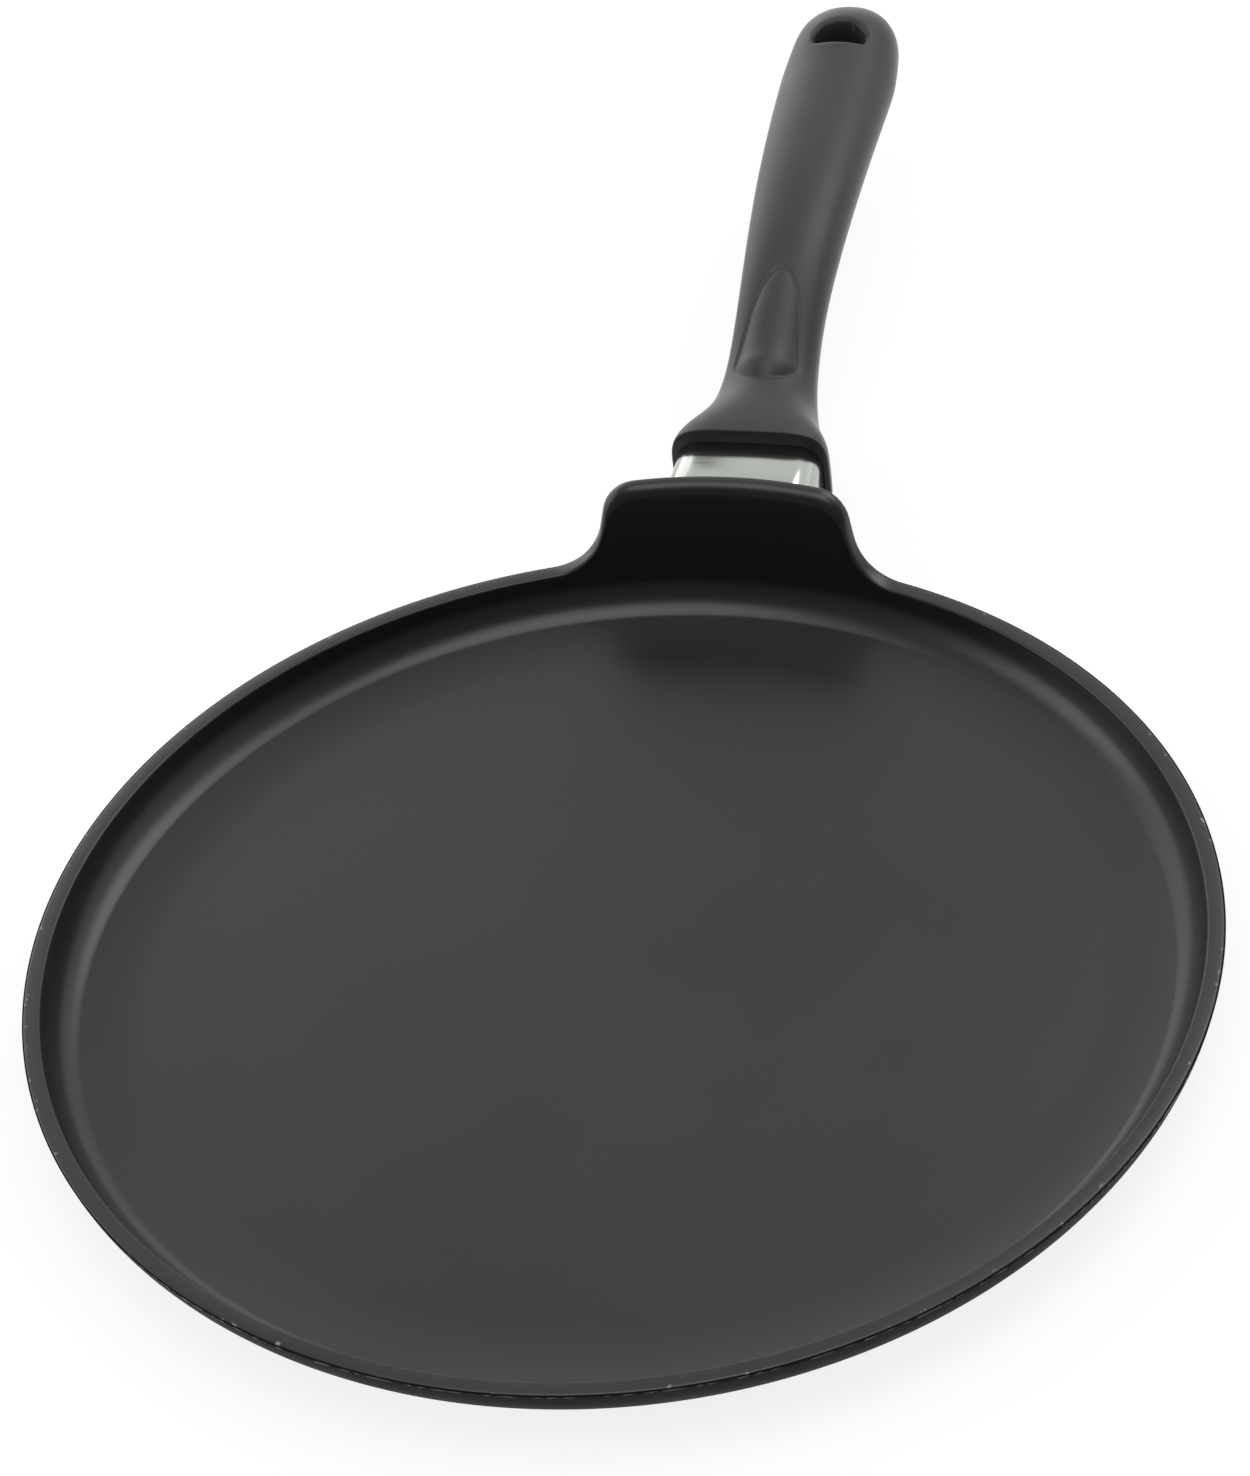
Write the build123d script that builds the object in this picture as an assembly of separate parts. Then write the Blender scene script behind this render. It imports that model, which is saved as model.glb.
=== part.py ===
from build123d import *
import math
import os

# Crepe pan, in millimetres. The origin is the middle of the base, on the table.
# Z is up, and the handle runs along +Y.

# Dish
RIM_RADIUS = 140.0
PAN_HEIGHT = 16.0
FLOOR_THICKNESS = 5.2
RIM_WIDTH = 4.2
WALL_LEAN_DEGREES = 13.0
BASE_CURVE_RADIUS = 18.6
WALL_CURVE_RADIUS = 10.0
FLOOR_CREASE_DEGREES = 18.0
RIM_ROUND = 0.8

# Collar that rises from the rim and carries the handle
COLLAR_RISE = 21.9
COLLAR_CROWN = 1.0
COLLAR_TOP_WIDTH = 61.2
COLLAR_FLANK_RUN = 4.5
COLLAR_FOOT_FILLET = 12.5
COLLAR_CORNER_RADIUS = 8.4
FOOT_FILLET_FLANK_SHARE = 0.55
CORNER_FLANK_SHARE = 0.4

# Pad, spigot and tang on the back of the collar
AXIS_HEIGHT = 18.4
PAD_STAND = 2.0
PAD_MARGIN = 2.0
PAD_ROUND = 0.8
SPIGOT_LENGTH = 2.5
SPIGOT_CLEARANCE = 0.3
TANG_WIDTH = 20.0
TANG_HEIGHT = 12.0
TANG_CORNER_RADIUS = 2.5
TANG_LENGTH = 41.0
TANG_NOSE_CHAMFER = 1.0

# Flame guard, a sleeve of thin steel sheet
GUARD_WIDTH = 38.4
GUARD_HEIGHT = 22.8
GUARD_CROWN = 0.6
GUARD_CORNER_RADIUS = 5.5
GUARD_WALL = 0.8
GUARD_SHOWN_LENGTH = 21.9

# Grip
GRIP_LENGTH = 173.2
GRIP_TIP_RADIUS = 16.2
GRIP_WIDTH = 31.8
GRIP_CREST_HEIGHT = 58.0
GUARD_REBATE_DEPTH = 2.5
REBATE_CLEARANCE = 0.15
TANG_CLEARANCE = 0.3
TANG_END_GAP = 0.8
WEB_THICKNESS = 9.0

# Hanging hole in the end of the grip
HANG_HOLE_WIDTH = 15.0
HANG_HOLE_LENGTH = 9.6
HANG_HOLE_SIDE = 2.2
HANG_HOLE_CORNER_RADIUS = 1.9
HANG_HOLE_TO_TIP = 16.0
HANG_HOLE_ROUND = 1.2

# Thumb rest, a drop-shaped pad with a groove round it
THUMB_LENGTH = 28.5
THUMB_WIDTH = 15.0
THUMB_TIP_WIDTH = 2.4
THUMB_START = 27.0
THUMB_PAD_RISE = 0.7
THUMB_GROOVE_DEPTH = 0.7
THUMB_GROOVE_WIDTH = 1.5

# Fixing screw and its washers
THREAD_DIAMETER = 5.0
THREAD_PITCH = 0.8
THREAD_LENGTH = 20.0
THREAD_CLEARANCE = 0.05
SCREW_LENGTH = 25.0
SCREW_NECK_DIAMETER = 4.6
HEAD_DIAMETER = 9.5
HEAD_HEIGHT = 3.6
HEAD_ROUND = 1.4
SLOT_WIDTH = 1.2
SLOT_DEPTH = 1.7
SCREW_HOLE_DIAMETER = 5.6
TAPPED_HOLE_RUNOUT = 2.7
ACCESS_BORE_DIAMETER = 11.0
WASHER_DIAMETER = 10.0
WASHER_THICKNESS = 1.0
WASHER_HOLE_DIAMETER = 5.3
LOCK_RING_DIAMETER = 9.2
LOCK_RING_THICKNESS = 1.2
LOCK_RING_HOLE_DIAMETER = 5.2
LOCK_RING_GAP = 1.0

# One overrun serves every cut
OVERRUN = 5.0

# The grip's sections. Each row holds: place along the straight part, then the
# half width, the top, the widest level and the underside, as shares of the
# grip's half width and crest height, and the fullness above and below.
SECTION_SHARES = [
    (0.000, 1.285, 0.578, 0.330, 0.078, 6.0, 6.0),
    (0.018, 1.290, 0.585, 0.335, 0.079, 5.0, 5.5),
    (0.045, 1.190, 0.588, 0.345, 0.083, 4.0, 4.6),
    (0.076, 1.040, 0.588, 0.355, 0.091, 2.9, 3.6),
    (0.115, 0.930, 0.584, 0.380, 0.114, 2.2, 3.0),
    (0.160, 0.830, 0.588, 0.415, 0.155, 2.0, 2.6),
    (0.210, 0.762, 0.612, 0.465, 0.215, 2.2, 2.4),
    (0.275, 0.738, 0.680, 0.545, 0.325, 2.3, 2.3),
    (0.350, 0.756, 0.762, 0.614, 0.445, 2.3, 2.2),
    (0.452, 0.806, 0.838, 0.683, 0.531, 2.3, 2.2),
    (0.580, 0.874, 0.897, 0.740, 0.583, 2.3, 2.2),
    (0.707, 0.930, 0.931, 0.768, 0.600, 2.3, 2.2),
    (0.834, 0.980, 0.952, 0.774, 0.610, 2.2, 2.2),
    (0.924, 0.996, 0.970, 0.772, 0.624, 2.2, 2.3),
    (1.000, 0.931, 1.000, 0.785, 0.655, 2.4, 2.5),
]
TIP_ANGLES_DEGREES = (25.0, 45.0, 62.0, 75.0, 85.0)
SECTION_POINTS = 24

# Places along Y that the pieces share
SEAT_Y = RIM_RADIUS + COLLAR_RISE * math.tan(math.radians(WALL_LEAN_DEGREES)) + PAD_STAND
LIP_Y = SEAT_Y + GUARD_SHOWN_LENGTH
REBATE_FLOOR_Y = LIP_Y + GUARD_REBATE_DEPTH
TANG_END_Y = SEAT_Y + TANG_LENGTH
WEB_START_Y = TANG_END_Y + TANG_END_GAP
WASHER_SEAT_Y = WEB_START_Y + WEB_THICKNESS
HEAD_SEAT_Y = WASHER_SEAT_Y + WASHER_THICKNESS + LOCK_RING_THICKNESS
SCREW_END_Y = HEAD_SEAT_Y - SCREW_LENGTH
TIP_CENTRE_Y = LIP_Y + GRIP_LENGTH - GRIP_TIP_RADIUS
COLLAR_TOP = PAN_HEIGHT + COLLAR_RISE
COLLAR_SHOULDER = COLLAR_TOP - COLLAR_CROWN


def lean_offset(height):
    """How far the wall leans outwards over a height."""
    return height * math.tan(math.radians(WALL_LEAN_DEGREES))


def outer_radius(height):
    """Radius of the wall's outside at a height above the table."""
    return RIM_RADIUS - lean_offset(PAN_HEIGHT - height)


def inner_radius(height):
    """Radius of the wall's inside at a height above the table."""
    return outer_radius(height) - RIM_WIDTH


def across(y):
    """A plane square to the handle, with its own Y pointing up."""
    return Plane(origin=(0, y, 0), x_dir=(-1, 0, 0), z_dir=(0, 1, 0))


def prism(outline, start, end):
    """Extrude an outline that is drawn square to the handle from start to end."""
    return extrude(across(start) * outline, amount=end - start)


def round_bar(diameter, start, end):
    """A bar on the handle's fixing axis from start to end."""
    return prism(Pos(0, AXIS_HEIGHT) * Circle(diameter / 2), start, end)


def corners_at(face, x=None, y=None):
    """The corners of a flat outline that lie at a given x or y."""
    found = []
    for corner in face.vertices():
        near_x = x is None or math.isclose(abs(corner.X), x, abs_tol=1e-6)
        near_y = y is None or math.isclose(corner.Y, y, abs_tol=1e-6)
        if near_x and near_y:
            found.append(corner)
    return found


def spin(outline):
    """Turn an outline of radius and height about the dish's axis."""
    return revolve(Plane.XZ * outline, axis=Axis.Z)


def crowned_box_outline(width, height, crown, corner):
    """A rounded rectangle whose top and bottom bulge by the crown."""
    half_width = width / 2
    half_height = height / 2
    shoulder = half_height - crown
    edges = [
        Line((-half_width, -shoulder), (-half_width, shoulder)),
        ThreePointArc((-half_width, shoulder), (0, half_height), (half_width, shoulder)),
        Line((half_width, shoulder), (half_width, -shoulder)),
        ThreePointArc((half_width, -shoulder), (0, -half_height), (-half_width, -shoulder)),
    ]
    face = make_face(edges)
    return Pos(0, AXIS_HEIGHT) * fillet(face.vertices(), corner)


def guard_outline(growth):
    """The flame guard's outside outline, grown all round."""
    return crowned_box_outline(
        GUARD_WIDTH + growth * 2,
        GUARD_HEIGHT + growth * 2,
        GUARD_CROWN,
        GUARD_CORNER_RADIUS + growth,
    )


def tang_outline(growth):
    """The tang's outline, grown all round."""
    width = TANG_WIDTH + growth * 2
    height = TANG_HEIGHT + growth * 2
    return Pos(0, AXIS_HEIGHT) * RectangleRounded(width, height, TANG_CORNER_RADIUS + growth)


def base_curve_radius():
    """The curve under the wall, kept within the wall's own height."""
    turn = math.radians((90 - WALL_LEAN_DEGREES) / 2)
    wall = PAN_HEIGHT / math.cos(math.radians(WALL_LEAN_DEGREES))
    room = wall - RIM_ROUND / math.tan(turn)
    return min(BASE_CURVE_RADIUS, room / math.tan(turn))


def dish_blank():
    """The dish and collar before they are trimmed or hollowed."""
    outline = make_face(
        Polyline(
            (0, 0),
            (outer_radius(0), 0),
            (outer_radius(COLLAR_TOP), COLLAR_TOP),
            (0, COLLAR_TOP),
            close=True,
        )
    )
    base_corner = corners_at(outline, x=outer_radius(0), y=0)
    return spin(fillet(base_corner, base_curve_radius()))


def flank_radius(wanted, flank_share):
    """A corner radius on the collar's flank, kept within a share of the flank."""
    flank_rise = COLLAR_SHOULDER - PAN_HEIGHT
    flank = math.hypot(COLLAR_FLANK_RUN, flank_rise)
    turn = math.atan2(flank_rise, COLLAR_FLANK_RUN)
    return min(wanted, flank * flank_share / math.tan(turn / 2))


def collar_outline():
    """The collar as seen from the dish, with the strip of rim beside it."""
    reach = RIM_RADIUS + OVERRUN
    top = COLLAR_TOP_WIDTH / 2
    foot = top + COLLAR_FLANK_RUN
    foot_fillet = flank_radius(COLLAR_FOOT_FILLET, FOOT_FILLET_FLANK_SHARE)
    corner_radius = flank_radius(COLLAR_CORNER_RADIUS, CORNER_FLANK_SHARE)
    edges = [
        ThreePointArc((-top, COLLAR_SHOULDER), (0, COLLAR_TOP), (top, COLLAR_SHOULDER)),
        Polyline(
            (top, COLLAR_SHOULDER),
            (foot, PAN_HEIGHT),
            (reach, PAN_HEIGHT),
            (reach, 0),
            (-reach, 0),
            (-reach, PAN_HEIGHT),
            (-foot, PAN_HEIGHT),
            (-top, COLLAR_SHOULDER),
        ),
    ]
    outline = fillet(corners_at(make_face(edges), x=foot, y=PAN_HEIGHT), foot_fillet)
    return fillet(corners_at(outline, x=top, y=COLLAR_SHOULDER), corner_radius)


def above_rim():
    """All that is cut away above the rim, which leaves the collar standing."""
    reach = outer_radius(COLLAR_TOP) + OVERRUN
    slab = Pos(0, 0, PAN_HEIGHT) * extrude(Circle(reach), amount=COLLAR_RISE + OVERRUN)
    return slab - prism(collar_outline(), 0, reach)


def wall_curve_place(slope):
    """Where the curve between floor and wall has a slope, as (radius, height)."""
    lean = math.radians(WALL_LEAN_DEGREES)
    crease = math.radians(FLOOR_CREASE_DEGREES)
    centre_height = FLOOR_THICKNESS + WALL_CURVE_RADIUS * math.cos(crease)
    wall_start = centre_height - WALL_CURVE_RADIUS * math.sin(lean)
    centre = inner_radius(wall_start) - WALL_CURVE_RADIUS * math.cos(lean)
    return (
        centre + WALL_CURVE_RADIUS * math.sin(slope),
        centre_height - WALL_CURVE_RADIUS * math.cos(slope),
    )


def cavity():
    """The space inside the dish and in front of the collar."""
    top = COLLAR_TOP + OVERRUN
    crease = math.radians(FLOOR_CREASE_DEGREES)
    steep = math.radians(90 - WALL_LEAN_DEGREES)
    floor_end = wall_curve_place(crease)
    wall_start = wall_curve_place(steep)
    edges = [
        ThreePointArc(floor_end, wall_curve_place((crease + steep) / 2), wall_start),
        Polyline(
            wall_start,
            (inner_radius(top), top),
            (0, top),
            (0, FLOOR_THICKNESS),
            floor_end,
        ),
    ]
    return spin(make_face(edges))


def handle_pad():
    """The thick pad on the collar's back that the flame guard's end sits on."""
    start = RIM_RADIUS - BASE_CURVE_RADIUS
    pad = prism(guard_outline(PAD_MARGIN), start, SEAT_Y)
    front_edges = pad.faces().sort_by(Axis.Y)[-1].edges()
    return fillet(front_edges, PAD_ROUND)


def tang():
    """The spigot that centres the guard, and the tang that the screw pulls on."""
    inside_guard = -GUARD_WALL - SPIGOT_CLEARANCE
    spigot = prism(guard_outline(inside_guard), SEAT_Y, SEAT_Y + SPIGOT_LENGTH)
    bar = prism(tang_outline(0), SEAT_Y, TANG_END_Y)
    nose = bar.faces().sort_by(Axis.Y)[-1].edges()
    bar = chamfer(nose, TANG_NOSE_CHAMFER)
    bore_diameter = THREAD_DIAMETER + THREAD_CLEARANCE * 2
    bore_floor = SCREW_END_Y - TAPPED_HOLE_RUNOUT
    return spigot + bar - round_bar(bore_diameter, bore_floor, TANG_END_Y + OVERRUN)


def rim_edges(body):
    """The edges of the rim's and the collar's top, inside and outside."""
    found = []
    for edge in body.edges():
        middle = edge.position_at(0.5)
        if middle.Z < PAN_HEIGHT - RIM_ROUND:
            continue
        radius = math.hypot(middle.X, middle.Y)
        on_outside = math.isclose(radius, outer_radius(middle.Z), abs_tol=1e-3)
        on_inside = math.isclose(radius, inner_radius(middle.Z), abs_tol=1e-3)
        if on_outside or on_inside:
            found.append(edge)
    return found


def pan_body():
    """Cast dish, collar, pad and tang in one piece."""
    body = dish_blank() - above_rim() - cavity()
    body = fillet(rim_edges(body), RIM_ROUND)
    return body + (handle_pad() - cavity()) + tang()


def flame_guard():
    """Sleeve of steel sheet between the pad and the grip."""
    outside = prism(guard_outline(0), SEAT_Y, REBATE_FLOOR_Y)
    inside = prism(guard_outline(-GUARD_WALL), SEAT_Y - OVERRUN, REBATE_FLOOR_Y + OVERRUN)
    return outside - inside


def section_wire(y, half_width, rise, level, drop, fullness_above, fullness_below):
    """One closed section of the grip, from its underside round and back."""
    points = []
    for index in range(SECTION_POINTS):
        angle = math.tau * index / SECTION_POINTS - math.pi / 2
        side = math.cos(angle)
        up = math.sin(angle)
        power = fullness_above if up >= 0 else fullness_below
        half_height = rise if up >= 0 else drop
        reach = (abs(side) ** power + abs(up) ** power) ** (-1 / power)
        points.append((half_width * side * reach, y, level + half_height * up * reach))
    return Wire([Edge.make_spline(points, periodic=True)])


def grip_blank(top_growth=0.0):
    """The grip's outside as one loft. Its top can be raised or lowered all along."""
    straight = TIP_CENTRE_Y - LIP_Y
    wires = []
    for place, width, top, level, bottom, above, below in SECTION_SHARES:
        y = LIP_Y + straight * place
        half_width = GRIP_WIDTH / 2 * width
        rise = GRIP_CREST_HEIGHT * (top - level) + top_growth
        middle = GRIP_CREST_HEIGHT * level
        drop = GRIP_CREST_HEIGHT * (level - bottom)
        wires.append(section_wire(y, half_width, rise, middle, drop, above, below))
    for degrees in TIP_ANGLES_DEGREES:
        y = TIP_CENTRE_Y + GRIP_TIP_RADIUS * math.sin(math.radians(degrees))
        narrowing = math.cos(math.radians(degrees))
        flattening = narrowing ** (2 / below)
        tip_width = half_width * narrowing
        tip_rise = rise * flattening
        tip_drop = drop * flattening
        wires.append(section_wire(y, tip_width, tip_rise, middle, tip_drop, above, below))
    return Solid.make_loft(wires)


def thumb_outline(growth):
    """The drop-shaped outline of the thumb rest, seen from above."""
    wide = THUMB_WIDTH / 2 + growth
    narrow = THUMB_TIP_WIDTH / 2 + growth
    start = LIP_Y + THUMB_START - growth
    end = start + THUMB_LENGTH + growth * 2
    round_end = Pos(0, start + wide) * Circle(wide)
    point_end = Pos(0, end - narrow) * Circle(narrow)
    return make_hull(round_end.edges() + point_end.edges())


def thumb_prism(growth):
    """The thumb rest's outline, extruded through the grip's upper half."""
    floor = GRIP_CREST_HEIGHT / 2
    return extrude(Pos(0, 0, floor) * thumb_outline(growth), amount=GRIP_CREST_HEIGHT)


def thumb_groove():
    """The shallow groove round the thumb rest."""
    ring = thumb_prism(THUMB_GROOVE_WIDTH) - thumb_prism(0)
    return ring - grip_blank(-THUMB_GROOVE_DEPTH)


def thumb_pad():
    """The raised pad inside the groove."""
    return grip_blank(THUMB_PAD_RISE) & thumb_prism(0)


def hang_hole_outline(growth):
    """The hanging hole: straight towards the pan and arched towards the tip."""
    half_width = HANG_HOLE_WIDTH / 2 + growth
    far = LIP_Y + GRIP_LENGTH - HANG_HOLE_TO_TIP + growth
    near = far - HANG_HOLE_LENGTH - growth * 2
    side = near + HANG_HOLE_SIDE + growth
    edges = [
        Line((-half_width, near), (half_width, near)),
        Line((half_width, near), (half_width, side)),
        ThreePointArc((half_width, side), (0, far), (-half_width, side)),
        Line((-half_width, side), (-half_width, near)),
    ]
    face = make_face(edges)
    near_corners = corners_at(face, x=half_width, y=near)
    return fillet(near_corners, HANG_HOLE_CORNER_RADIUS + growth)


def hang_hole():
    """The hanging hole, cut straight down through the grip."""
    return extrude(hang_hole_outline(0), amount=GRIP_CREST_HEIGHT + OVERRUN)


def handle_grip():
    """Moulded grip with its rebate, tang pocket, screw hole and hanging hole."""
    grip = grip_blank() - thumb_groove() + thumb_pad()
    grip -= prism(guard_outline(REBATE_CLEARANCE), LIP_Y - OVERRUN, REBATE_FLOOR_Y)
    grip -= prism(tang_outline(TANG_CLEARANCE), LIP_Y, WEB_START_Y)
    grip -= round_bar(SCREW_HOLE_DIAMETER, LIP_Y, WASHER_SEAT_Y + OVERRUN)
    grip -= round_bar(ACCESS_BORE_DIAMETER, WASHER_SEAT_Y, LIP_Y + GRIP_LENGTH)
    hole = hang_hole()
    holed_grip = grip - hole
    hole_mouths = new_edges(grip, hole, combined=holed_grip)
    return fillet(hole_mouths, HANG_HOLE_ROUND)


def thread_outline():
    """Half section of the screw's shank, with a V groove for each turn."""
    crest = THREAD_DIAMETER / 2
    root = crest - THREAD_PITCH / 2
    points = [(0, 0), (root, 0)]
    turns = int(THREAD_LENGTH / THREAD_PITCH)
    for turn in range(turns):
        start = turn * THREAD_PITCH
        points.append((crest, start + THREAD_PITCH / 2))
        points.append((root, start + THREAD_PITCH))
    points.append((SCREW_NECK_DIAMETER / 2, turns * THREAD_PITCH))
    points.append((SCREW_NECK_DIAMETER / 2, SCREW_LENGTH))
    points.append((0, SCREW_LENGTH))
    return make_face(Polyline(*points, close=True))


def fixing_screw():
    """Slotted cheese-head screw that clamps the grip to the tang."""
    axis_plane = Plane(
        origin=(0, SCREW_END_Y, AXIS_HEIGHT), x_dir=(1, 0, 0), z_dir=(0, 0, 1)
    )
    axis = Axis(origin=(0, SCREW_END_Y, AXIS_HEIGHT), direction=(0, 1, 0))
    shank = revolve(axis_plane * thread_outline(), axis=axis)
    head = round_bar(HEAD_DIAMETER, HEAD_SEAT_Y, HEAD_SEAT_Y + HEAD_HEIGHT)
    head = fillet(head.faces().sort_by(Axis.Y)[-1].edges(), HEAD_ROUND)
    slot = prism(
        Pos(0, AXIS_HEIGHT) * Rectangle(HEAD_DIAMETER + OVERRUN, SLOT_WIDTH),
        HEAD_SEAT_Y + HEAD_HEIGHT - SLOT_DEPTH,
        HEAD_SEAT_Y + HEAD_HEIGHT + OVERRUN,
    )
    return shank + head - slot


def plain_washer():
    """Flat washer on the grip's web."""
    end = WASHER_SEAT_Y + WASHER_THICKNESS
    disc = round_bar(WASHER_DIAMETER, WASHER_SEAT_Y, end)
    return disc - round_bar(WASHER_HOLE_DIAMETER, WASHER_SEAT_Y, end)


def lock_washer():
    """Split spring washer under the screw's head."""
    start = WASHER_SEAT_Y + WASHER_THICKNESS
    ring = round_bar(LOCK_RING_DIAMETER, start, HEAD_SEAT_Y)
    ring -= round_bar(LOCK_RING_HOLE_DIAMETER, start, HEAD_SEAT_Y)
    cut_reach = LOCK_RING_DIAMETER / 2
    cut_outline = Pos(0, AXIS_HEIGHT + cut_reach / 2) * Rectangle(LOCK_RING_GAP, cut_reach)
    return ring - prism(cut_outline, start, HEAD_SEAT_Y)


PIECES = {
    "pan_body": pan_body,
    "flame_guard": flame_guard,
    "handle_grip": handle_grip,
    "fixing_screw": fixing_screw,
    "plain_washer": plain_washer,
    "lock_washer": lock_washer,
}

os.makedirs("parts", exist_ok=True)
for name, make_piece in PIECES.items():
    export_step(make_piece(), f"parts/{name}.step")
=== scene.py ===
import math

import bmesh
import bpy
from mathutils import Matrix, Vector


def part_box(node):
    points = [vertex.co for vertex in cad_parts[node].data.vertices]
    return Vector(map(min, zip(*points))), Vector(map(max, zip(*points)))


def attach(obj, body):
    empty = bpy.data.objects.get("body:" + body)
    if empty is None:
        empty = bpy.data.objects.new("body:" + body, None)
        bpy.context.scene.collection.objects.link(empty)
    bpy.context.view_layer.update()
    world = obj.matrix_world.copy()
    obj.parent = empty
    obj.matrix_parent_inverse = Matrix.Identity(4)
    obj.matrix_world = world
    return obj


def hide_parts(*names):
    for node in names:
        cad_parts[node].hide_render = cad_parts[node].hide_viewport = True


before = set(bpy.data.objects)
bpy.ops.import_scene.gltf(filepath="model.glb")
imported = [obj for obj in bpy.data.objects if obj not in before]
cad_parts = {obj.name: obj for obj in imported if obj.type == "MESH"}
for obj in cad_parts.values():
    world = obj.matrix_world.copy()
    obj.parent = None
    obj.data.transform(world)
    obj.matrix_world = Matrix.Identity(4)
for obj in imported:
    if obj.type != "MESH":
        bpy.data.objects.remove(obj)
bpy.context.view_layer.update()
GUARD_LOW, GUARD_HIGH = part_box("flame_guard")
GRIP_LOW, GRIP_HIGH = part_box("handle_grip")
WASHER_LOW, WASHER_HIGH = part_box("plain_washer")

bl_info = {
    "name": "Crepe pan",
    "version": (1, 0, 0),
    "blender": (4, 5, 0),
    "location": "3D View > Sidebar > Crepe pan",
    "description": "Models a crepe pan with a steel flame guard and an arched soft-touch grip",
    "category": "Object",
}

MM = 0.001
TINY = 1e-6
BODY = "root"

# The photograph's frame and the lens that took it
IMAGE_HEIGHT_PX = 1476
FOCAL_LENGTH_PX = 4500
SENSOR_MM = 36
CAMERA_PLACE = Vector((0.2382, -0.7276, 0.7280))
CAMERA_RIGHT = Vector((0.9721, 0.2056, -0.1128))
CAMERA_DOWN = Vector((0.0516, -0.6568, -0.7523))

# The grip's sections, from the flame guard to the round tip. Each row holds: place
# along the straight part, then half width, top, widest level and underside as shares
# of the grip's half width and crest height, and the fullness above and below.
SECTION_SHARES = [
    (0.000, 1.285, 0.578, 0.330, 0.078, 6.0, 6.0),
    (0.018, 1.290, 0.585, 0.335, 0.079, 5.0, 5.5),
    (0.045, 1.190, 0.588, 0.345, 0.083, 4.0, 4.6),
    (0.076, 1.040, 0.588, 0.355, 0.091, 2.9, 3.6),
    (0.115, 0.930, 0.584, 0.380, 0.114, 2.2, 3.0),
    (0.160, 0.830, 0.588, 0.415, 0.155, 2.0, 2.6),
    (0.210, 0.762, 0.612, 0.465, 0.215, 2.2, 2.4),
    (0.275, 0.738, 0.680, 0.545, 0.325, 2.3, 2.3),
    (0.350, 0.756, 0.762, 0.614, 0.445, 2.3, 2.2),
    (0.452, 0.806, 0.838, 0.683, 0.531, 2.3, 2.2),
    (0.580, 0.874, 0.897, 0.740, 0.583, 2.3, 2.2),
    (0.707, 0.930, 0.931, 0.768, 0.600, 2.3, 2.2),
    (0.834, 0.980, 0.952, 0.774, 0.610, 2.2, 2.2),
    (0.924, 0.996, 0.970, 0.772, 0.624, 2.2, 2.3),
    (1.000, 0.931, 1.000, 0.785, 0.655, 2.4, 2.5),
]
TIP_ANGLES_DEGREES = (18.0, 34.0, 48.0, 60.0, 70.0, 78.0, 85.0)
SECTION_CORNERS = 24
MOST_SECTION_SPACING = 6.5 * MM

# How finely the round stretches are cut
FLOOR_CURVE_STEPS = 14
BASE_CURVE_SEGMENTS = 16
FLOOR_CUTS = 7
WALL_CUTS = 6
RIM_OUTER_SEGMENTS = 5
RIM_INNER_SEGMENTS = 7
PAD_CORNER_SEGMENTS = 8
PAD_EDGE_SEGMENTS = 4
GUARD_CORNER_SEGMENTS = 12
CROWN_STRIPS = 8
LIP_SEGMENTS = 3
BORE_CORNERS = 48
HOLE_ARCH_SEGMENTS = 16
HOLE_CORNER_SEGMENTS = 6

# From this angle on, an edge is a sharp one
SHARP_DEGREES = 50

# How far a normal has to point up, down or outwards for its face to count as such
FACES_UP = 0.2
FACES_DOWN = -0.3
FACES_OUT = 0.55

# The pad's back: how far inside the rim it starts and how far inside the wall it ends, in
# wall thicknesses, and the levels that it is cut at, as shares of the pad's height
PAD_START_SHARE = 2.5
PAD_END_SHARE = 0.72
PAD_CUT_SHARES = (0.2, 0.45)

# The collar's share that takes its inner edge from the rim's rounding to its own
COLLAR_ROUND_SHARE = 0.8

# The thumb rest's egg shape, as shares of its length: its widest place, the round of its
# blunt front and of its narrow end. Then how much narrower and lower that end is, and
# how far outside the outline the groove lies, as a share of half the groove's width.
THUMB_WIDEST = 0.16
THUMB_FRONT = 0.2
THUMB_BACK = 0.4
THUMB_TAPER = 0.4
THUMB_FALL = 0.65
GROOVE_OFFSET = 0.8

BORE_CLEARANCE = 0.5 * MM

# The range that most of a noise's values lie in
NOISE_LOW = 0.3
NOISE_HIGH = 0.7

# A painted highlight across the coating, a pale band where x and y add up to about its place; away from it
# the coating's colour falls to a small share
PAINTED_HIGHLIGHT_PLACE = 75 * MM
PAINTED_HIGHLIGHT_WAVER = 60 * MM
PAINTED_HIGHLIGHT_CORE = 10 * MM
PAINTED_HIGHLIGHT_REACH = 120 * MM
OFF_HIGHLIGHT_SHARE = 0.08

# The chips on the rim's outer edge
BARE_METAL = (0.16, 0.15, 0.125)
CHIP_BELOW_RIM = 0.3 * MM
CHIP_INSIDE_WALL = 0.5 * MM
CHIP_CORE = 0.5 * MM
CHIP_REACH = 1.0 * MM

# The sleeve's brushed lines, short along the handle and long across it
BRUSHING = (40, 2600, 40)

# The stage. Each lamp has its name, place, aim, width and power in watts.
FLOOR_SIZE = 12
FLOOR_GAP = 0.05 * MM
FLOOR_LIFT = 0.85
ROOM_COLOUR = (0.955, 1.0, 0.965, 1)
LAMPS = (
    ("left_lamp", (-1.9, -0.1, 0.8), (0, 0.15, 0), 1.2, 8),
    ("right_lamp", (0.6, 0.9, 1.3), (0, 0.05, 0), 0.9, 8),
    ("overhead_lamp", (0.0, -0.15, 1.5), (0, 0.05, 0), 1.0, 9),
)


def length(name, description, millimetres):
    """A property that holds a length."""
    return bpy.props.FloatProperty(
        name=name, description=description, default=millimetres * MM, unit="LENGTH"
    )


def angle(name, description, degrees):
    """A property that holds an angle."""
    return bpy.props.FloatProperty(
        name=name, description=description, default=math.radians(degrees), subtype="ANGLE"
    )


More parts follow.
